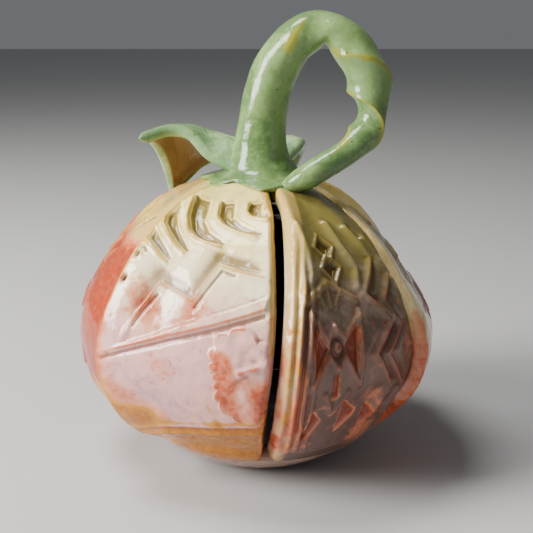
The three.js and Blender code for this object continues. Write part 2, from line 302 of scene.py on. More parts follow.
class Glaze:
    """Builds a glossy ceramic material by mixing colours one over another."""

    def __init__(self, name, roughness):
        self.material = bpy.data.materials.new(name)
        self.material.use_nodes = True
        self.nodes = self.material.node_tree.nodes
        self.links = self.material.node_tree.links
        self.shader = self.nodes["Principled BSDF"]
        self.shader.inputs["Roughness"].default_value = roughness
        self.shader.inputs["IOR"].default_value = GLAZE_IOR
        self.place = self.nodes.new("ShaderNodeTexCoord").outputs["Object"]
        self.colour = None

    def layer(self, label):
        """A value stored in the mesh for each point."""
        node = self.nodes.new("ShaderNodeAttribute")
        node.attribute_name = label
        return node.outputs["Fac"]

    def noise(self, size, detail=4, rough=0.6, warp=0.0):
        """Cloudy noise; size is that of one cloud in millimetres."""
        node = self.nodes.new("ShaderNodeTexNoise")
        node.inputs["Scale"].default_value = 1 / (size * MM)
        node.inputs["Detail"].default_value = detail
        node.inputs["Roughness"].default_value = rough
        node.inputs["Distortion"].default_value = warp
        self.links.new(self.place, node.inputs["Vector"])
        return node.outputs["Fac"]

    def dots(self, size):
        """Distance to scattered points, which lie about size millimetres apart."""
        node = self.nodes.new("ShaderNodeTexVoronoi")
        node.inputs["Scale"].default_value = 1 / (size * MM)
        self.links.new(self.place, node.inputs["Vector"])
        return node.outputs["Distance"]

    def math(self, kind, a, b=None):
        node = self.nodes.new("ShaderNodeMath")
        node.operation = kind
        for socket, value in zip(node.inputs, (a, b)):
            if value is None:
                continue
            if isinstance(value, (int, float)):
                socket.default_value = value
            else:
                self.links.new(value, socket)
        return node.outputs[0]

    def both(self, a, b):
        return self.math("MULTIPLY", a, b)

    def shaken(self, value, cloud, amount):
        """A value made uneven by a cloudy one."""
        return self.math("ADD", value, self.both(self.math("SUBTRACT", cloud, 0.5), amount))

    def band(self, value, low, high, out_low=0.0, out_high=1.0):
        """Smooth step of a value from low to high."""
        node = self.nodes.new("ShaderNodeMapRange")
        node.interpolation_type = "SMOOTHSTEP"
        node.inputs["From Min"].default_value = low
        node.inputs["From Max"].default_value = high
        node.inputs["To Min"].default_value = out_low
        node.inputs["To Max"].default_value = out_high
        self.links.new(value, node.inputs["Value"])
        return node.outputs["Result"]

    def start(self, name):
        node = self.nodes.new("ShaderNodeRGB")
        node.outputs[0].default_value = colour(name)
        self.colour = node.outputs[0]

    def over(self, name, amount):
        """Lays a colour over what is there, by an amount from 0 to 1."""
        node = self.nodes.new("ShaderNodeMix")
        node.data_type = "RGBA"
        self.links.new(amount, node.inputs[0])
        self.links.new(self.colour, node.inputs[MIX_UNDER])
        node.inputs[MIX_OVER].default_value = colour(name)
        self.colour = node.outputs[MIX_RESULT]

    def finish(self, bumps):
        """Connects the colour and a chain of bumps, each a height and a depth in millimetres."""
        self.links.new(self.colour, self.shader.inputs["Base Color"])
        normal = None
        for height, depth in bumps:
            node = self.nodes.new("ShaderNodeBump")
            node.inputs["Strength"].default_value = 1
            node.inputs["Distance"].default_value = depth * MM
            self.links.new(height, node.inputs["Height"])
            if normal is not None:
                self.links.new(normal, node.inputs["Normal"])
            normal = node.outputs["Normal"]
        if normal is not None:
            self.links.new(normal, self.shader.inputs["Normal"])
        return self.material


def petal_glaze(name):
    """Cream to peach glaze over relief; one layer darkens it: painted shade on the petals turned from
    the light, and partly a thinner coat.
    """
    g = Glaze(name, 0.1)
    height = g.layer("height")
    ridge = g.layer("ridge")
    coral = g.layer("coral")
    ochre = g.layer("ochre")
    green = g.layer("green")
    shade_and_thin_glaze = g.layer("shade_and_thin_glaze")
    tan = g.layer("tan")
    big = g.noise(26, 3, 0.55, 0.6)
    mid = g.noise(9, 4, 0.6, 0.8)
    fine = g.noise(2.6, 4, 0.65, 0.4)

    g.start("peach")
    g.over("cream", g.band(g.shaken(height, big, 0.3), 0.52, 0.76))
    g.over("lilac", g.both(g.band(mid, 0.46, 0.66, 0, 0.75), g.band(height, 0.75, 0.35)))
    g.over("apricot", g.both(g.band(big, 0.5, 0.64), g.band(height, 0.7, 0.2, 0, 0.8)))
    g.over("butter", g.band(g.shaken(height, mid, 0.35), 0.73, 0.89, 0, 0.94))
    # painted shade on the petals turned from the light, partly a thinner glaze: grey, olive higher up,
    # brown lower down
    g.over("grey_shade_thin_glaze", g.both(shade_and_thin_glaze, g.band(mid, 0.3, 0.6, 0.75, 1)))
    g.over("olive_shade_thin_glaze", g.both(shade_and_thin_glaze, g.band(g.shaken(height, mid, 0.3), 0.62, 0.84)))
    g.over("brown_shade_thin_glaze", g.both(shade_and_thin_glaze, g.band(g.shaken(height, mid, 0.3), 0.62, 0.3, 0, 0.8)))
    g.over("tan", g.band(g.shaken(tan, mid, 0.5), 0.3, 0.6, 0, 0.9))
    g.over("pale_tan", g.band(g.shaken(tan, mid, 0.25), 0.84, 1.05, 0, 0.85))
    flush = g.shaken(coral, mid, 1.1)
    g.over("coral", g.band(flush, 0.28, 0.55, 0, 0.85))
    g.over("deep_coral", g.both(g.band(flush, 0.5, 0.85), g.band(fine, 0.3, 0.62, 0.35, 1)))
    g.over("brick", g.band(flush, 0.85, 1.25, 0, 0.75))
    pool = g.shaken(ochre, mid, 0.9)
    g.over("ochre", g.band(pool, 0.3, 0.5, 0, 0.95))
    g.over("burnt_ochre", g.both(g.band(pool, 0.55, 0.95), g.band(fine, 0.3, 0.7, 0.4, 1)))
    broken = g.shaken(ridge, fine, 0.7)
    is_low = g.band(height, 0.8, 0.62)
    is_high = g.math("SUBTRACT", 1, is_low)
    # the edge colours are weaker under the painted shade
    crest = g.math("SUBTRACT", 0.8, g.both(shade_and_thin_glaze, 0.62))
    g.over("gold", g.both(g.both(g.band(broken, 0.3, 0.75), crest), is_high))
    g.over("rust", g.both(g.both(g.band(broken, 0.42, 0.9), crest), is_low))
    sunk = g.shaken(g.both(ridge, -1), fine, 0.3)
    g.over("olive_sunk", g.both(g.band(sunk, 0.1, 0.75, 0, 0.85), is_high))
    g.over("red_sunk", g.both(g.band(sunk, 0.2, 0.9, 0, 0.7), is_low))
    speckle = g.both(g.band(g.dots(1.7), 0.26, 0.12), g.band(mid, 0.46, 0.6))
    g.over("speckle", g.both(speckle, g.band(height, 0.85, 0.6, 0, 0.8)))
    g.over("green_run", g.band(g.shaken(green, mid, 0.6), 0.42, 0.7, 0, 0.9))
    # painted shadow: the inner faces of the slabs and the bottoms of the pits are coloured near black
    g.over("petal_shadow", g.layer("inner"))
    holes = g.band(g.dots(3.1), 0.02, 0.09)
    return g.finish([(g.noise(8, 2), 0.5), (fine, 0.1), (holes, 0.14)])


def green_glaze(name, light, dark):
    """Running green glaze that breaks to olive on ridges; the layer under shows bare clay."""
    g = Glaze(name, 0.11)
    ridge = g.layer("ridge")
    under = g.layer("under")
    big = g.noise(20, 3, 0.5, 0.7)
    mid = g.noise(6, 4, 0.6, 1.2)
    fine = g.noise(1.6, 4, 0.7)
    g.start(light)
    g.over(dark, g.band(g.math("ADD", big, g.both(mid, 0.35)), 0.55, 0.8, 0, 0.9))
    g.over("pale_green", g.band(fine, 0.5, 0.75, 0, 0.45))
    g.over("moss", g.both(g.band(fine, 0.58, 0.7), g.band(mid, 0.48, 0.62, 0, 0.7)))
    worn = g.shaken(ridge, mid, 0.9)
    g.over("worn_olive", g.band(worn, 0.35, 0.8, 0, 0.9))
    trickle = g.noise(3.2, 5, 0.7, 2.0)
    streak = g.both(g.band(trickle, 0.58, 0.66), g.band(big, 0.46, 0.6))
    g.over("streak", g.both(streak, 0.75))
    spots = g.both(g.band(g.dots(4.5), 0.14, 0.05), g.band(mid, 0.5, 0.58))
    g.over("green_spot", g.both(spots, 0.8))
    g.over("bare_clay", g.both(under, g.band(mid, 0.2, 0.5, 0.75, 1)))
    return g.finish([(g.noise(6, 2), 0.35), (fine, 0.06)])


def base_glaze(name):
    """Thin brown glaze of the dish, ochre towards the petals."""
    g = Glaze(name, 0.16)
    mid = g.noise(8, 4, 0.6, 0.8)
    fine = g.noise(2, 4, 0.65)
    g.start("base_clay")
    g.over("base_brown", g.band(mid, 0.45, 0.7))
    pool = g.band(g.layer("ochre"), 0.2, 0.8)
    g.over("base_ochre", g.both(pool, g.band(fine, 0.3, 0.6)))
    spots = g.band(g.dots(2.4), 0.14, 0.05)
    g.over("base_spot", g.both(spots, g.band(mid, 0.46, 0.58)))
    # painted shadow over the inside of the dish
    g.over("base_shadow", g.layer("inner"))
    return g.finish([(g.noise(7, 2), 0.3), (g.band(g.dots(2.4), 0.03, 0.12), 0.25)])


MATERIALS = {
    "petal": petal_glaze("petal_glaze"),
    "stem": green_glaze("stem_glaze", "stem_light", "stem_dark"),
    "leaf": green_glaze("leaf_glaze", "leaf_light", "leaf_dark"),
    "base": base_glaze("base_glaze"),
}

# ---------------------------------------------------------------- relief pressed in the slabs

# Each relief takes places on a slab in mm: across from its middle line, up from the joint and
# from its left edge. It gives the height pressed there, and a stain from 0 to 1.


def front_left_relief(across, up, from_left):
    """Flame waves at the top, a zigzag, a slanting band, a scalloped field and a ledge."""
    h = 0
    flames = [
        [(-20.5, 118), (-19.8, 109), (-17.8, 103.5), (-13.3, 100),
         (-6.5, 95.8), (-12.5, 102), (-15.8, 108), (-16.4, 118)],
        [(-12.4, 119), (-11, 110), (-8.5, 105.5), (-4.6, 103),
         (6.2, 100.4), (-1.5, 105.6), (-5.4, 110), (-7.4, 120)],
        [(-2.5, 121), (-0.5, 114), (3, 110.5), (7.2, 108.5),
         (18, 104), (9.5, 109.6), (5, 113.5), (2.2, 121.5)],
        [(8.5, 121.5), (9.5, 117), (12, 114.4), (19, 112), (14.5, 116), (12.5, 121)],
        [(-27.5, 105), (-26.2, 100), (-22.5, 96.5), (-11.8, 91.2),
         (-18.5, 97.4), (-22.6, 101.5), (-23.6, 107)],
        [(-34, 99), (-32, 95.5), (-21, 90.8), (-28, 96.4), (-30.5, 100)],
    ]
    for flame in flames:
        windward = flame[: len(flame) // 2 + 1]
        rim_line = [(x - 1.0, y - 1.6) for x, y in windward]
        h -= 1.5 * plateau(across, up, flame, 1.1)
        h += scarp(across, up, windward, 0.9, 1.8, 0.6)
        h -= groove(across, up, rim_line, 1.1, 0.5)
    zigzag = [(-23, 62), (-12.8, 83.5), (1.5, 79), (7.3, 93.5), (27, 87)]
    h += scarp(across, up, zigzag, 2.1, 4.4, 0.7)
    h -= groove(across, up, [(x + 0.3, y - 1.8) for x, y in zigzag], 1.0, 0.5)
    for line in ([(-19.5, 65), (-12, 77.5)], [(3.5, 75), (9.8, 89), (15, 87)]):
        h += groove(across, up, line, 0.6, 0.7)
    band = [(-37, 51), (-4, 63.5), (29, 74), (29, 79), (-1, 68), (-19, 59.5)]
    h += 1.0 * plateau(across, up, band, 0.8) * smooth(-38, -12, across)
    h += groove(across, up, [(-37, 49.5), (-4, 62), (29, 72.3)], 0.9, 0.7)
    middle = (25.0, 51.0)
    angle = np.arctan2(up - middle[1], across - middle[0])
    reach = np.hypot(across - middle[0], (up - middle[1]) * 0.78)
    lobes = 1 - np.abs(np.sin(angle * 7 + 1.6 * np.sin(angle * 2.3))) ** 0.7
    scallop = 14.2 + 2.2 * np.sin(angle * 3 + 1.2) - 2.0 * lobes
    field = smooth(0.6, -0.6, reach - scallop)
    h += 0.65 * field
    blistered = np.stack([across, up, 0 * across], -1)
    h += field * 0.45 * HAND(blistered, 5, 2)
    h -= groove(across, up, [(23, 53.5), (33, 56.5)], 1.5, 1.0)
    ledge = up - 24 - LEDGE_SLOPE * across
    h = h - 1.6 * smooth(0.5, -1.0, ledge) + 1.2 * bell(ledge, -4.5, 2.2)
    return h, field


def front_right_relief(across, up, from_left):
    """Ribs beside the lip, diamonds at the top, a crossed box with a boss and zigzags."""
    ribs = 0
    for place, depth, width in ((5.2, 1.3, 0.9), (8.6, 1.1, 0.8), (11.8, 0.9, 0.7)):
        reach = smooth(8, 20, up) * smooth(116 - 2.6 * place, 96 - 2.6 * place, up)
        ribs -= depth * bell(from_left, place, width) * reach
        ribs += 0.5 * bell(from_left, place + 1.7, 0.9) * reach
    h = ribs
    raised = [
        ([(-13, 106), (-13.5, 95), (-15.5, 86), (-20, 79)], 1.7, 1.5),
        ([(0, 108), (1.2, 97), (4, 87), (2, 80)], 1.7, 1.5),
        ([(-20.5, 76), (-10.5, 83.5), (-0.5, 75.5)], 1.3, 1.3),
        ([(-19.5, 71.5), (-14.5, 63), (-11.2, 67.5)], 1.0, 1.0),
        ([(-0.5, 70), (-7.5, 63), (-11.2, 67.5)], 1.0, 1.0),
        ([(-21.5, 48), (-14.5, 57), (-11.4, 52.5)], 1.0, 1.0),
        ([(-3, 46), (-8.2, 56.5), (-11.4, 52.5)], 1.0, 1.0),
        ([(-20, 73), (-22.5, 46)], 0.9, 1.0),
        ([(0, 72), (-1.5, 44)], 1.1, 1.2),
        ([(-10.8, 82), (-11, 75)], 0.8, 0.8),
        ([(-15, 79), (-12.8, 74)], 0.7, 0.6),
        ([(-6.4, 79), (-9, 74)], 0.7, 0.6),
        ([(-16, 43), (-11.5, 33), (-6, 42)], 1.2, 1.0),
    ]
    for line, width, height in raised:
        h -= groove(across, up, line, width, height)
    for centre in ((-6.2, 97), (-6.4, 88.5)):
        diamond = np.abs(across - centre[0]) / 3.2 + np.abs(up - centre[1]) / 4.6
        h = h - 1.3 * smooth(1.0, 0.6, diamond) + 1.0 * bell(diamond, 1.3, 0.25)
    recessed = [
        [(-19.3, 67.5), (-14.8, 60), (-20.6, 51)],
        [(-1.8, 66.5), (-7.6, 60), (-3.2, 49.5)],
        [(-12.6, 50), (-10.6, 50), (-10.4, 41), (-12.8, 41)],
        [(-20, 36), (-15.5, 30), (-19.5, 19)],
        [(-6.5, 37), (-1, 31), (-7, 22)],
        [(4, 33), (9, 27), (3.5, 17)],
    ]
    stain = 0
    for corners in recessed:
        field = plateau(across, up, corners, 0.8)
        h -= 1.9 * field
        stain += plateau(across, up, corners, 1.8)
    boss = np.hypot((across + 11.2) / 1.5, (up - 60) / 2.2)
    h = h + 1.2 * smooth(1.2, 0.6, boss) - 0.8 * bell(boss, 1.6, 0.3)
    zigzags = [
        [(7, 104), (13, 90), (4, 77), (14.5, 65.5), (5, 55), (14, 40), (8, 26)],
        [(15, 98), (21, 82), (12.5, 73), (20.5, 62.5), (11, 53.5), (24, 36), (17, 24)],
    ]
    for zigzag in zigzags:
        h -= groove(across, up, zigzag, 1.9, 1.7)
        beside = [(x + 3.6, y) for x, y in zigzag]
        h += groove(across, up, beside, 1.7, 1.2)
    return h, np.clip(stain, 0, 1)


def side_relief(seed, plain_right=60, plain_left=0):
    """Rows of zigzags and ribs, a little different on each panel and plain near some edges."""
    shift = np.random.RandomState(seed).uniform(-3, 3, 6)

    def relief(across, up, from_left):
        h = 0
        for row, base in enumerate((34, 56, 78, 98)):
            pitch = 15 - row
            phase = (across + shift[row]) / pitch
            tooth = np.abs((phase % 1) - 0.5) * 2
            line = up - base - 9 * tooth - 0.12 * across * (1 if row % 2 else -1)
            h = h - 1.5 * bell(line, 0, 1.4) + 0.7 * bell(line, 2.8, 1.5)
            if row % 2 == 0:
                h -= 0.8 * bell(line, -5.5, 0.8)
        ribs = np.sin((across + shift[4]) * 0.9)
        h += 0.5 * ribs * bell(up, 46, 6)
        short_of_right = smooth(plain_right, plain_right - 5, across)
        clear_of_left = smooth(plain_left, plain_left + 5, from_left)
        return h * short_of_right * clear_of_left, 0 * across

    return relief


# ---------------------------------------------------------------- petals

EDGE_POINTS = 14  # round a cut edge
BULGE_REACH = 0.09  # share of the outline that a bulge takes up
PIT_DEPTH = 2.4
SMOOTHING_ROUNDS = 9  # to tell ridges and hollows from broad relief

# left and right are azimuths of the cut edges in degrees, from the joint up to the collar. lift is
# how far the two edges stand out, low and high how far the lower and upper half do, and bulge a
# share of the outline with the heights there at the left, middle and right, all in mm. slant is
# the slant of the two cut edges. dusk is how much painted shade, partly a thinner glaze, darkens
# the petal beyond a lip of some mm, on the petals turned from the light. pits are places from the
# left edge and up from the joint.
PETAL_DEFAULTS = dict(
    low=0, high=0, bulge=(0, 0, 0, 0), flat=0.045, shade_and_thin_glaze=0, lip=0, rim=0.35, pits=(), middle=None,
    columns=120, rows=170,
)
PETALS = [
    dict(name="front_left_petal", left=(-55, -53, -50, -50, -52), right=(1.5, 4, 7, 7.8, 8),
         lift=(3.5, 0.5), bulge=(0.26, 3, 0.3, 0), slant=(0.5, 2.6), rim=1,
         pits=((3.2, 79.5), (3.0, 89)), relief=front_left_relief, columns=178, rows=236),
    dict(name="front_right_petal", left=(2.0, 4.5, 7.5, 9.7, 12.6),
         right=(63.5, 63.5, 61, 60.5, 64.5), lift=(2.6, -3.0), slant=(4.4, 0), shade_and_thin_glaze=0.92, lip=4,
         middle=33.6, relief=front_right_relief, columns=172, rows=232),
    dict(name="right_petal", left=(61.5, 59.5, 56.5, 57.5, 65.5), right=(119,) * 5,
         lift=(1.9, -1), low=0.5, high=-3.3, flat=0.035, slant=(1, 0), shade_and_thin_glaze=0.6, lip=9,
         relief=side_relief(5, plain_left=24)),
    dict(name="back_right_petal", left=(120.5,) * 5, right=(179, 178, 177, 177, 178),
         lift=(2, 0.5), high=-2.5, slant=(1, 1.5), shade_and_thin_glaze=0.5, relief=side_relief(6)),
    dict(name="back_left_petal", left=(181, 182, 183, 183, 182), right=(239,) * 5,
         lift=(2, 1), slant=(2, 0), shade_and_thin_glaze=0.15, relief=side_relief(7)),
    dict(name="left_petal", left=(240.5,) * 5, right=(303.5, 305.5, 308.5, 308.5, 306.5),
         lift=(2, -3.4), high=-0.7, bulge=(0.32, 0.5, 6.9, 1), flat=0.03, slant=(1, 0), shade_and_thin_glaze=0.32,
         relief=side_relief(8, plain_right=12)),
]


def petal_lift(spec, u, share, radius):
    """How far a slab stands out from the body's outline; u runs from -1 to 1 across it."""
    swell = smooth(JOINT_SHARE, 0.38, share) * (1 - smooth(0.82, 1.02, share))
    faceting = spec["flat"] * radius * (u * u - 0.45)
    edges = spec["lift"][0] * smooth(0.25, 1, -u) + spec["lift"][1] * smooth(0.25, 1, u)
    low = spec["low"] * smooth(0.25, 0.4, share) * (1 - smooth(0.5, 0.7, share))
    high = spec["high"] * smooth(0.45, 0.65, share) * (1 - smooth(0.85, 1, share))
    high = high * (1 + 0.5 * smooth(-0.9, -0.3, u))
    place, at_left, at_middle, at_right = spec["bulge"]
    bulge = np.interp(u, (-1, 0, 1), (at_left, at_middle, at_right)) * bell(share, place, BULGE_REACH)
    bulge = bulge * smooth(JOINT_SHARE, JOINT_SHARE + 0.08, share)
    return swell * (faceting + edges) + low + high + bulge


def edge_profile(count):
    """A cut edge from the outer to the inner face: inset from the edge and depth, in mm."""
    straight = WALL - 2 * EDGE_ROUND
    total = math.pi * EDGE_ROUND + straight
    inset, depth = [], []
    for k in range(1, count):
        run = total * k / count
        quarter = math.pi * EDGE_ROUND / 2
        if run < quarter:
            a = run / EDGE_ROUND
            inset.append(EDGE_ROUND * (1 - math.sin(a)))
            depth.append(EDGE_ROUND * (1 - math.cos(a)))
        elif run < quarter + straight:
            inset.append(0)
            depth.append(EDGE_ROUND + run - quarter)
        else:
            a = (run - quarter - straight) / EDGE_ROUND
            inset.append(EDGE_ROUND * (1 - math.cos(a)))
            depth.append(WALL - EDGE_ROUND * (1 - math.sin(a)))
    return np.array(inset), np.array(depth)


def middle_azimuth(spec):
    """Where a slab's relief is centred, in degrees."""
    if spec["middle"] is not None:
        return spec["middle"]
    return np.mean(spec["left"][1:4] + spec["right"][1:4])


def ridges(press):
    """Where the pressed clay stands up, above 0, or lies in a hollow, below 0."""
    soft = press.copy()
    for _ in range(SMOOTHING_ROUNDS):
        beside = soft[:-2, 1:-1] + soft[2:, 1:-1] + soft[1:-1, :-2] + soft[1:-1, 2:]
        soft[1:-1, 1:-1] = beside / 4
    return np.clip((press - soft) * 2.6 + np.minimum(press, 0) * 0.38, -1, 1)


def petal_ends(rows, ring, columns, edge_count):
    """Faces that close a slab's lower and upper end: quads, and a fan at either cut edge."""
    index = np.arange(rows * ring).reshape(rows, ring)
    inner_start = columns + edge_count
    caps = []
    for row, flip in ((0, True), (rows - 1, False)):
        out = index[row, :columns]
        ins = index[row, inner_start : inner_start + columns][::-1]
        quads = np.stack([out[:-1], out[1:], ins[1:], ins[:-1]], -1)
        right_fan = index[row, columns - 1 : inner_start + 1][None, :]
        past_inner = index[row, inner_start + columns - 1 :]
        left_fan = np.concatenate([past_inner, index[row, :1]])[None, :]
        for faces in (quads, right_fan, left_fan):
            caps.append(faces[:, ::-1] if flip else faces)
    return caps


def petal(spec):
    """A slab: rings of outer face, right edge, inner face and left edge, stacked up the wall."""
    columns, rows = spec["columns"], spec["rows"]
    edge_inset, edge_depth = edge_profile(EDGE_POINTS)
    share = np.linspace(JOINT_SHARE - 0.002, TOP_SHARE + 0.012, rows)[:, None]
    station = np.clip((share - JOINT_SHARE) / (TOP_SHARE - JOINT_SHARE), 0, 1)
    radius = outline(share)[0]
    left = np.radians(along(spec["left"], station))
    right = np.radians(along(spec["right"], station))
    slant = np.minimum(1, radius / 60) ** 2
    across_share = np.linspace(0, 1, columns)[None, :]

    def row_edges(inset, depth):
        """Azimuths of the left and right ends at a depth, set in from the edge."""
        cut = 1 - depth / WALL
        low = left + (spec["slant"][0] * slant * cut + inset) / radius
        high = right - (spec["slant"][1] * slant * cut + inset) / radius
        return low, high

    def face(depth):
        low, high = row_edges(EDGE_ROUND, depth)
        return low + (high - low) * across_share

    outer = face(0.0)
    inner = face(WALL)[:, ::-1]
    right_edge = np.concatenate([row_edges(i, d)[1] for i, d in zip(edge_inset, edge_depth)], 1)
    left_edge = np.concatenate([row_edges(i, d)[0] for i, d in zip(edge_inset, edge_depth)], 1)
    azimuth = np.concatenate([outer, right_edge, inner, left_edge[:, ::-1]], 1)
    depth = np.concatenate([
        np.zeros(columns), edge_depth, np.full(columns, WALL), edge_depth[::-1],
    ])[None, :] + 0 * azimuth
    grid_share = share + 0 * azimuth
    grid_radius = radius + 0 * azimuth

    middle = (left + right) / 2
    u = np.clip((azimuth - middle) / ((right - left) / 2), -1, 1)
    lift = petal_lift(spec, u, grid_share, grid_radius)
    across = (azimuth - np.radians(middle_azimuth(spec))) * grid_radius
    up = (grid_share - JOINT_SHARE) * LENGTH
    from_left = (azimuth - left) * grid_radius
    press, field = spec["relief"](across, up, from_left)
    on_outer = smooth(1.8, 0.2, depth)
    near_edge = np.minimum((right - azimuth) * grid_radius, from_left)
    fade = on_outer * smooth(0.8, 3.4, near_edge) * smooth(2, 10, up) * smooth(134, 124, up)
    press = press * fade
    pitted = 0 * press
    for pit_across, pit_up in spec["pits"]:
        pit = np.hypot(from_left - pit_across, up - pit_up)
        pitted = np.maximum(pitted, smooth(1.5, 0.7, pit) * on_outer)
    press = press - PIT_DEPTH * pitted

    place = wall_point(grid_share, azimuth, depth - lift)
    hand = 0.55 * HAND(place, 24, 2) + 0.16 * HAND(place, 6, 2)
    on_edge = smooth(0.3, 1.5, depth) * smooth(6.2, 5, depth)
    chips = 0.45 * smooth(0.25, 0.9, HAND(place, 5, 2)) * on_edge
    place = wall_point(grid_share, azimuth, depth - lift - press - hand * smooth(0, 12, up) + chips)

    ridge = np.zeros_like(azimuth)
    ridge[:, :columns] = ridges(press[:, :columns])
    rim = smooth(4.2, 1.4, near_edge) * smooth(4.5, 0.3, depth)
    line = bell(near_edge, 1.3, 1.1) * smooth(2.5, 0.3, depth)
    calm = smooth(20, 26, up - LEDGE_SLOPE * across) if spec["name"] == "front_left_petal" else 1
    ridge = np.clip(ridge * calm + 0.3 * rim + spec["rim"] * line, -1, 1)

    height = place[..., 2] / COLLAR_TOP
    coral = petal_coral(spec["name"], across, up, place, field * on_outer, rim)
    ochre = petal_ochre(spec["name"], across, up, place)
    green = smooth(0.86, 0.97, grid_share) * on_outer * (0.55 + 0.45 * GLAZE(place, 9, 2))
    # painted shadow mask: the slab's inner face and its pits
    inner = np.maximum(smooth(WALL - 2.2, WALL - 0.4, depth), pitted)
    # painted shade, partly a thinner glaze, over the petal beyond its lip
    shade_and_thin_glaze = spec["shade_and_thin_glaze"] * smooth(spec["lip"], spec["lip"] + 4, from_left) + 0 * azimuth
    tan = petal_tan(spec["name"], up, from_left, (right - azimuth) * grid_radius) * smooth(6, 3, depth)
    layers = dict(
        ridge=ridge, height=height, coral=coral, ochre=ochre, green=green, inner=inner,
        shade_and_thin_glaze=shade_and_thin_glaze, tan=tan,
    )

    ring = azimuth.shape[1]
    faces = [ring_faces(rows, ring), *petal_ends(rows, ring, columns, len(edge_inset))]
    add_object(spec["name"] + "_slab", place.reshape(-1, 3), faces, layers, MATERIALS["petal"],
               spec["name"])


def petal_coral(name, across, up, place, field, rim):
    """Where the coral glaze flashes through."""
    drawn = np.stack([across, up / 6, 0 * across], -1)
    streaks = GLAZE(drawn, 3.2, 3)
    base = 0.17 + 0.16 * smooth(80, 40, up) + 0.2 * GLAZE(place, 13, 3)
    if name == "front_left_petal":
        patches = bell(across, 14, 6.5) * smooth(66, 54, up)
        patches += 0.8 * bell(across, 31, 5) * smooth(54, 44, up)
        base = base + 0.62 * field * smooth(0.1, 0.6, patches) - 0.06 * field
        base *= smooth(16, 26, up - LEDGE_SLOPE * across)
        base += 0.5 * bell(across, -36, 7) * bell(up, 62, 26)
        base += 0.35 * bell(across, 28, 5) * bell(up, 35, 16)
        base += 0.55 * bell(across, -17, 6) * bell(up, 73, 8)
        base += 0.5 * bell(across, 3, 5) * bell(up, 75, 7)
        base *= smooth(108, 88, up)
    if name == "front_right_petal":
        base += (0.2 + 0.6 * streaks) * smooth(-19, -24, across) * smooth(86, 66, up)
        base += 0.95 * field
        base += 0.2 * smooth(50, 15, up) * smooth(-5, 12, across)
        base = (base - 0.17) * smooth(92, 70, up)
    if name == "left_petal":
        base += (1.4 + 0.3 * streaks) * smooth(100, 82, up) * smooth(4, 26, up)
    if name == "right_petal":
        base = base * smooth(80, 50, up) + (0.24 + 0.4 * streaks) * smooth(60, 30, up)
    if name in ("back_left_petal", "back_right_petal"):
        base += 0.3 * bell(up, 48, 26)
    return np.clip(base + 0.25 * rim * smooth(100, 70, up), 0, 1.4)


def petal_tan(name, up, from_left, from_right):
    """Where the glaze broke to plain tan along a cut edge."""
    if name == "front_left_petal":
        return 0.8 * smooth(5, 2.5, from_right) * smooth(40, 75, up)
    if name == "front_right_petal":
        return smooth(9, 5, from_left) * (0.5 + 0.3 * smooth(40, 66, up))
    if name == "right_petal":
        return smooth(25, 17, from_left) * (0.3 + 0.82 * smooth(42, 70, up))
    if name == "left_petal":
        return 0.83 * smooth(82, 94, up)
    return 0 * up


def petal_ochre(name, across, up, place):
    """Where ochre glaze has pooled."""
    base = 0.35 * smooth(34, 4, up) + 0.12 * GLAZE(place, 14, 3)
    if name == "front_left_petal":
        slope_line = up - LEDGE_SLOPE * across
        base += 1.5 * bell(np.hypot((across + 25) / 9, (up - 27) / 5.0), 0, 1.2)
        base += 1.0 * smooth(24.6, 22.4, slope_line) * smooth(-20, -8, across)
        base += 0.3 * bell(slope_line, 19.5, 2.0)
        base += 0.55 * bell(across + 0.15 * up, 15, 2.4) * smooth(46, 36, up)
        base += 0.45 * bell(slope_line, 27, 1.6) * smooth(-22, -10, across)
        base += 0.5 * bell(across, -34, 4) * smooth(60, 40, up)
    if name == "front_right_petal":
        drawn = np.stack([across, up / 6, 0 * across + 9], -1)
        base = 0.5 * base + (0.1 + 0.3 * GLAZE(drawn, 3, 2)) * smooth(-19, -24, across)
    if name == "right_petal":
        base = 0.5 * base
    if name == "left_petal":
        base += 0.6 * smooth(44, 22, up)
    return np.clip(base, 0, 1.2)


for petal_spec in PETALS:
    petal({**PETAL_DEFAULTS, **petal_spec})

# ---------------------------------------------------------------- turned pieces


def revolve(profile, sides, wobble):
    """A closed turned solid; profile runs from the axis to the axis. wobble shifts points."""
    profile = np.asarray(profile, float)
    inner = profile[1:-1]
    angle = 2 * np.pi * np.arange(sides) / sides
    r = inner[:, 0][:, None] + 0 * angle[None, :]
    z = inner[:, 1][:, None] + 0 * angle[None, :]
    points = np.stack([r * np.sin(angle), -r * np.cos(angle), z], -1)
    points = wobble(points)
    flat = np.concatenate([points.reshape(-1, 3), [[0, 0, profile[0, 1]], [0, 0, profile[-1, 1]]]])
    rows = len(inner)
    count = rows * sides
    return flat, [ring_faces(rows, sides), *end_fans(rows, sides, count, count + 1)]


def dish():
    """The pressed dish under the petals, with a flat foot and a hollow of its own."""
    share = np.linspace(0, JOINT_SHARE - SEAM / LENGTH, 40)
    radius, height, out_r, out_z = outline(share)
    inner_r = radius - WALL * out_r
    inner_z = height - WALL * out_z
    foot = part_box("base_dish")[0].z / MM
    flat = [(r, foot) for r in np.linspace(0, radius[0], 8)[:-1]]
    hollow = [(r, z) for r, z in zip(inner_r[::-1], inner_z[::-1]) if r > FOOT_RIM]
    floor = [(r, hollow[-1][1]) for r in np.linspace(hollow[-1][0], 0, 8)[1:]]
    profile = flat + list(zip(radius, height)) + hollow + floor

    def wobble(points):
        amount = 0.5 * HAND(points, 22, 2) * smooth(3, 9, points[..., 2])
        return points + amount[..., None] * np.array([0, 0, 1])

    points, faces = revolve(profile, 260, wobble)
    ochre = smooth(6, 13, points[:, 2]) * (0.5 + 0.5 * GLAZE(points, 12, 2))
    reach = np.hypot(points[:, 0], points[:, 1])
    outer = np.interp(points[:, 2], height, radius)
    # painted shadow mask: the inside of the dish
    inner = smooth(1.5, WALL - 1, outer - reach) * smooth(1.5, 3, points[:, 2])
    add_object("base_dish_shell", points, faces, dict(ochre=ochre, inner=inner), MATERIALS["base"],
               "base_dish")


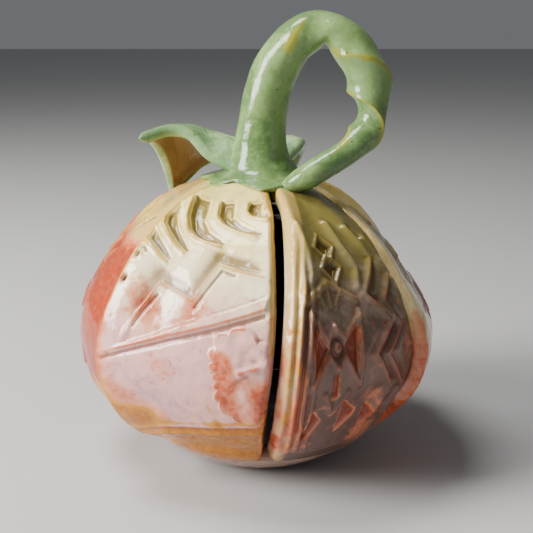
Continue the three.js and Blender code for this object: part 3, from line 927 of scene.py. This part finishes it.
def collar():
    """The domed cap on top, with an uneven rim where its clay was smeared down."""
    radius, height = outline(TOP_SHARE)[:2]
    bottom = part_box("collar")[0].z / MM
    top = height + 2.6
    dome = [
        (radius + 2.6, height - 0.4), (radius + 2.4, height + 0.5), (radius + 0.8, height + 1.2),
        (radius - 3, height + 1.9), (radius - 8, top), (4, top),
    ]
    under = [(0, bottom), (radius - 6, bottom), (radius - 3, bottom + 2), (radius - 1, height - 2.5)]
    path = catmull(under[1:] + dome, np.linspace(0, len(under) + len(dome) - 2, 60))
    profile = [(0, bottom)] + [tuple(p) for p in path] + [(0, top)]

    def wobble(points):
        angle = np.arctan2(points[..., 0], -points[..., 1])
        rim = smooth(radius - 3, radius + 1, np.hypot(points[..., 0], points[..., 1]))
        wave = 1.1 * np.sin(angle * 3 + 0.6) + 0.7 * np.sin(angle * 7 + 2.0)
        wave += 0.8 * HAND(points, 5, 2)
        stretch = 1 + rim * wave * 0.08
        result = points.copy()
        result[..., :2] *= stretch[..., None]
        result[..., 2] -= rim * wave * 0.55
        return result

    points, faces = revolve(profile, 240, wobble)
    ridge = 0.3 * smooth(radius - 1, radius + 2, np.hypot(points[:, 0], points[:, 1]))
    add_object("collar_cap", points, faces, dict(ridge=ridge, under=0 * ridge), MATERIALS["stem"],
               "collar")


dish()
collar()

# ---------------------------------------------------------------- stem

STEM = [
    # x, y, z, half width over the ridges, half thickness, turn of the ridges, ridge sharpness
    (0, 0, 111.5, 21.5, 21.5, 90, 1),
    (0, 0, 113.6, 18.2, 18.2, 90, 1),
    (0, 0, 116.6, 13.9, 13.9, 90, 1),
    (-0.3, 0, 121.5, 11.3, 11.3, 90, 1),
    (0, 0, 132, 9.6, 9.6, 90, 1),
    (2, 0, 144.4, 9.2, 9.0, 90, 1),
    (6.2, 0, 156, 9.4, 8.8, 90, 1.15),
    (14.0, -1, 166.0, 9.2, 7.9, 78, 1.25),
    (25.6, -3, 169.9, 5.9, 7.6, 12, 1.1),
    (36.0, -5, 160.6, 9.2, 7.9, -74, 1.35),
    (41.8, -8, 146.6, 8.8, 6.2, -204, 1.55),
    (41.2, -11, 135.4, 7.6, 5.0, -300, 1.7),
    (34.9, -15, 126.8, 5.5, 4.9, -378, 1.3),
    (25.0, -18.5, 120.9, 5.4, 5.1, -420, 1.1),
    (16.6, -19.8, 116.0, 5.6, 4.8, -445, 1),
    (10.6, -18.9, 113.2, 3.9, 3.2, -450, 1),
    (7.0, -17.9, 111.8, 1.0, 0.9, -450, 1),
]


def stem():
    """The coil: rings with two ridges that turn along the run, which makes the twist."""
    rows, sides = 420, 72
    place = np.linspace(0, len(STEM) - 1, rows)
    values = catmull(STEM, place)
    centre = values[:, :3]
    run = np.gradient(centre, axis=0)
    run /= np.linalg.norm(run, axis=1)[:, None]
    front = np.array([0, -1.0, 0])
    out = -np.cross(run, front)
    out /= np.linalg.norm(out, axis=1)[:, None]
    side = np.cross(run, out)
    turn = np.radians(values[:, 5])[:, None]
    ridge_way = out * np.cos(turn) + side * np.sin(turn)
    flank_way = np.cross(run, ridge_way)
    angle = 2 * np.pi * np.arange(sides)[None, :] / sides
    sharp = values[:, 6][:, None]
    x = values[:, 3][:, None] * np.cos(angle)
    y = values[:, 4][:, None] * np.sign(np.sin(angle)) * np.abs(np.sin(angle)) ** sharp
    points = centre[:, None] + ridge_way[:, None] * x[..., None] + flank_way[:, None] * y[..., None]
    outward = points - centre[:, None]
    outward /= np.linalg.norm(outward, axis=2)[..., None]
    points = points + outward * (0.35 * HAND(points, 17, 2) + 0.1 * HAND(points, 5, 2))[..., None]
    ridge = np.abs(np.cos(angle)) ** 7 * smooth(1.02, 1.3, sharp) * smooth(0.0, 1, place)[:, None]
    ridge = 0.95 * ridge + 0.2 * GLAZE(points, 8, 2)
    flat = np.concatenate([points.reshape(-1, 3), centre[:1], centre[-1:]])
    count = rows * sides
    faces = [ring_faces(rows, sides), *end_fans(rows, sides, count, count + 1)]
    layers = dict(ridge=np.append(ridge.ravel(), [0, 0]), under=np.zeros(len(flat)))
    add_object("stem_loop_coil", flat, faces, layers, MATERIALS["stem"],
               "stem_loop")


stem()

# ---------------------------------------------------------------- leaves

LEAF_THICKNESS = 4.8

# Rows of places on a leaf's upper face from root to tip, each row from edge to edge, mm.
LEFT_LEAF = [
    [(-10, -6, 116.6), (-9, -2, 121), (-7, 4, 126), (-5, 8, 126), (-2, 10, 121)],
    [(-19.5, -3, 121.8), (-19, 3, 126.5), (-18.5, 10, 130), (-17, 16, 127), (-15, 20, 119)],
    [(-27, 1, 130.3), (-27, 6, 132), (-27, 12, 132), (-26.5, 19, 125), (-25, 24.5, 114)],
    [(-37, 1.5, 132.4), (-37, 7, 132.6), (-37, 13, 129.5), (-35.5, 20, 119.5), (-33, 26.5, 107)],
    [(-48, -4, 130.3), (-46.5, 2, 128.5), (-44, 9, 123), (-41.5, 18, 113.5), (-39.5, 27, 102.5)],
]
BACK_LEAF = [
    [(-4, 8, 117.5), (0, 9, 118.5), (3, 9, 118.5), (6, 8.5, 118), (9, 7, 116.5)],
    [(-5, 17, 123), (1, 18, 124), (6, 18, 124), (10.5, 17, 123), (14.5, 15, 120.5)],
    [(-4, 25, 125), (2, 26.5, 126.4), (8, 27, 126.4), (13, 26, 126), (18.2, 23, 124.5)],
    [(0, 36, 121), (5, 37.5, 122), (10, 38, 122), (15, 37, 121.5), (19.5, 34, 119.5)],
    [(8, 46, 110), (10, 47, 109.5), (12, 47.5, 109), (14, 47, 109.5), (16, 45.5, 110)],
]


def eased(count):
    """Shares from 0 to 1, closer together near both ends."""
    t = np.linspace(0, 1, count)
    return (1 - np.cos(np.pi * t)) / 2 * 0.75 + t * 0.25


def leaf(name, node, net):
    rows, columns = 110, 90
    along_share, across_share = eased(rows), eased(columns)
    net = np.asarray(net, float)
    by_row = np.stack([catmull(row, across_share * (len(row) - 1)) for row in net])
    upper = np.stack([
        catmull(by_row[:, c], along_share * (len(net) - 1)) for c in range(columns)
    ], 1)
    du = np.gradient(upper, axis=1)
    dv = np.gradient(upper, axis=0)
    normal = np.cross(du, dv)
    normal /= np.linalg.norm(normal, axis=2)[..., None]
    if normal[..., 2].mean() < 0:
        normal = -normal
    to_left = np.cumsum(np.linalg.norm(du, axis=2), 1)
    to_right = to_left[:, -1:] - to_left
    to_root = np.cumsum(np.linalg.norm(dv, axis=2), 0)
    to_tip = to_root[-1:] - to_root
    to_left = to_left - to_left[:, :1]
    half = LEAF_THICKNESS / 2

    def rounded(distance):
        return np.sqrt(1 - (1 - np.clip(distance / half, 0, 1)) ** 2)

    thick = half * rounded(to_left) * rounded(to_right) * rounded(to_tip)
    vein_line = np.abs(across_share[None, :] - 0.5) * to_left[:, -1:]
    veins = bell(vein_line, 0, 1.0)
    from_middle = np.abs(across_share[None, :] - 0.5)
    ribs = np.abs(np.sin((along_share[:, None] * 5 + from_middle * 3) * np.pi))
    veins += 0.5 * bell(ribs, 0, 0.12) * smooth(0.02, 0.2, along_share)[:, None]
    inner = smooth(1.5, 6, np.minimum(np.minimum(to_left, to_right), to_tip))
    middle = upper - half * normal
    wave = 0.45 * HAND(middle, 13, 2)
    top = middle + normal * (thick + wave - 0.35 * veins * inner)[..., None]
    bottom = middle - normal * (thick - wave)[..., None]
    from_rim = np.minimum(np.minimum(to_left, to_right), to_tip)
    rim = 1 - smooth(0, 3.2, from_rim)
    lines = bell(from_rim, 2.4, 0.7)
    count = rows * columns
    index = np.arange(count).reshape(rows, columns)
    own = np.ones((rows, columns), bool)
    own[:, 0] = own[:, -1] = own[-1] = False
    under_index = index.copy()
    under_index[own] = count + np.arange(own.sum())

    def skin(ids):
        """Quads over the net; each tip corner is two triangles that meet in the corner."""
        quads = np.stack([ids[:-1, :-1], ids[:-1, 1:], ids[1:, 1:], ids[1:, :-1]], -1)
        kept = np.ones(quads.shape[:2], bool)
        kept[-1, 0] = kept[-1, -1] = False
        a, b, c, d = quads[-1, 0]
        e, f, g, h = quads[-1, -1]
        return quads[kept], np.array([[a, b, d], [b, c, d], [e, f, g], [e, g, h]])

    over, below = index[0], under_index[0]
    upper_quads, upper_corners = skin(index)
    lower_quads, lower_corners = skin(under_index)
    faces = [
        upper_quads,
        upper_corners,
        lower_quads[:, ::-1],
        lower_corners[:, ::-1],
        np.stack([over[2:-1], over[1:-2], below[1:-2], below[2:-1]], -1),
        np.array([[over[1], over[0], below[1]], [over[-1], over[-2], below[-2]]]),
    ]
    if np.sum(np.cross(du, dv) * normal) < 0:
        faces = [face[:, ::-1] for face in faces]
    points = np.concatenate([top.reshape(-1, 3), bottom[own]])
    relief = 0.55 * lines - 0.3 * veins * inner
    tan_side = smooth(0.7, 0.2, rim)
    layers = dict(
        ridge=np.concatenate([relief.ravel(), 0.55 * lines[own]]),
        under=np.concatenate([np.zeros(count), tan_side[own]]),
    )
    add_object(name, points, faces, layers, MATERIALS["leaf"], node)


leaf("left_leaf_slab", "left_leaf", LEFT_LEAF)
leaf("back_leaf_slab", "back_leaf", BACK_LEAF)

# ---------------------------------------------------------------- stage, light and camera


def flat_material(name, paint, roughness):
    material = bpy.data.materials.new(name)
    material.use_nodes = True
    shader = material.node_tree.nodes["Principled BSDF"]
    shader.inputs["Base Color"].default_value = colour(paint)
    shader.inputs["Roughness"].default_value = roughness
    return material


def stage():
    bpy.ops.mesh.primitive_plane_add(size=8, location=(0, 0, 0))
    floor = bpy.context.object
    floor.name = "floor"
    floor.data.materials.append(flat_material("floor_paint", "floor", 0.8))


def area_light(name, place, size, power, tint):
    data = bpy.data.lights.new(name, "AREA")
    data.shape = "RECTANGLE"
    data.size, data.size_y = size
    data.energy = power
    data.color = tint
    light = bpy.data.objects.new(name, data)
    bpy.context.collection.objects.link(light)
    light.location = place
    way = Vector(AIM) - Vector(place)
    light.rotation_euler = way.to_track_quat("-Z", "Y").to_euler()


# name, place, size, power, tint; all aim at the middle of the body
AIM = (0, 0, 0.07)
LIGHTS = [
    ("window", (-0.85, -0.3, 0.5), (0.42, 0.6), 26, (1, 0.985, 0.96)),
    ("skylight", (-0.3, 0.02, 0.84), (0.3, 0.32), 6.5, (1, 1, 1)),
    ("fill", (0.9, -0.7, 0.3), (0.5, 0.5), 0.5, (0.95, 0.97, 1)),
]
WORLD_COLOUR = (0.80, 0.83, 0.88, 1)
WORLD_STRENGTH = 0.19
CAMERA_PLACE = (0.002, -0.390, 0.178)
CAMERA_DOWN = 14.6  # degrees below level
CAMERA_LENS = 67.5  # mm, on a sensor 36 mm wide


def lighting():
    world = bpy.data.worlds.new("studio")
    bpy.context.scene.world = world
    world.use_nodes = True
    background = world.node_tree.nodes["Background"]
    background.inputs["Color"].default_value = WORLD_COLOUR
    background.inputs["Strength"].default_value = WORLD_STRENGTH
    for light in LIGHTS:
        area_light(*light)


def camera():
    data = bpy.data.cameras.new("camera")
    data.sensor_width = 36
    data.lens = CAMERA_LENS
    seat = bpy.data.objects.new("camera", data)
    bpy.context.collection.objects.link(seat)
    seat.location = CAMERA_PLACE
    seat.rotation_euler = (math.radians(90 - CAMERA_DOWN), 0, 0)
    bpy.context.scene.camera = seat


stage()
lighting()
camera()
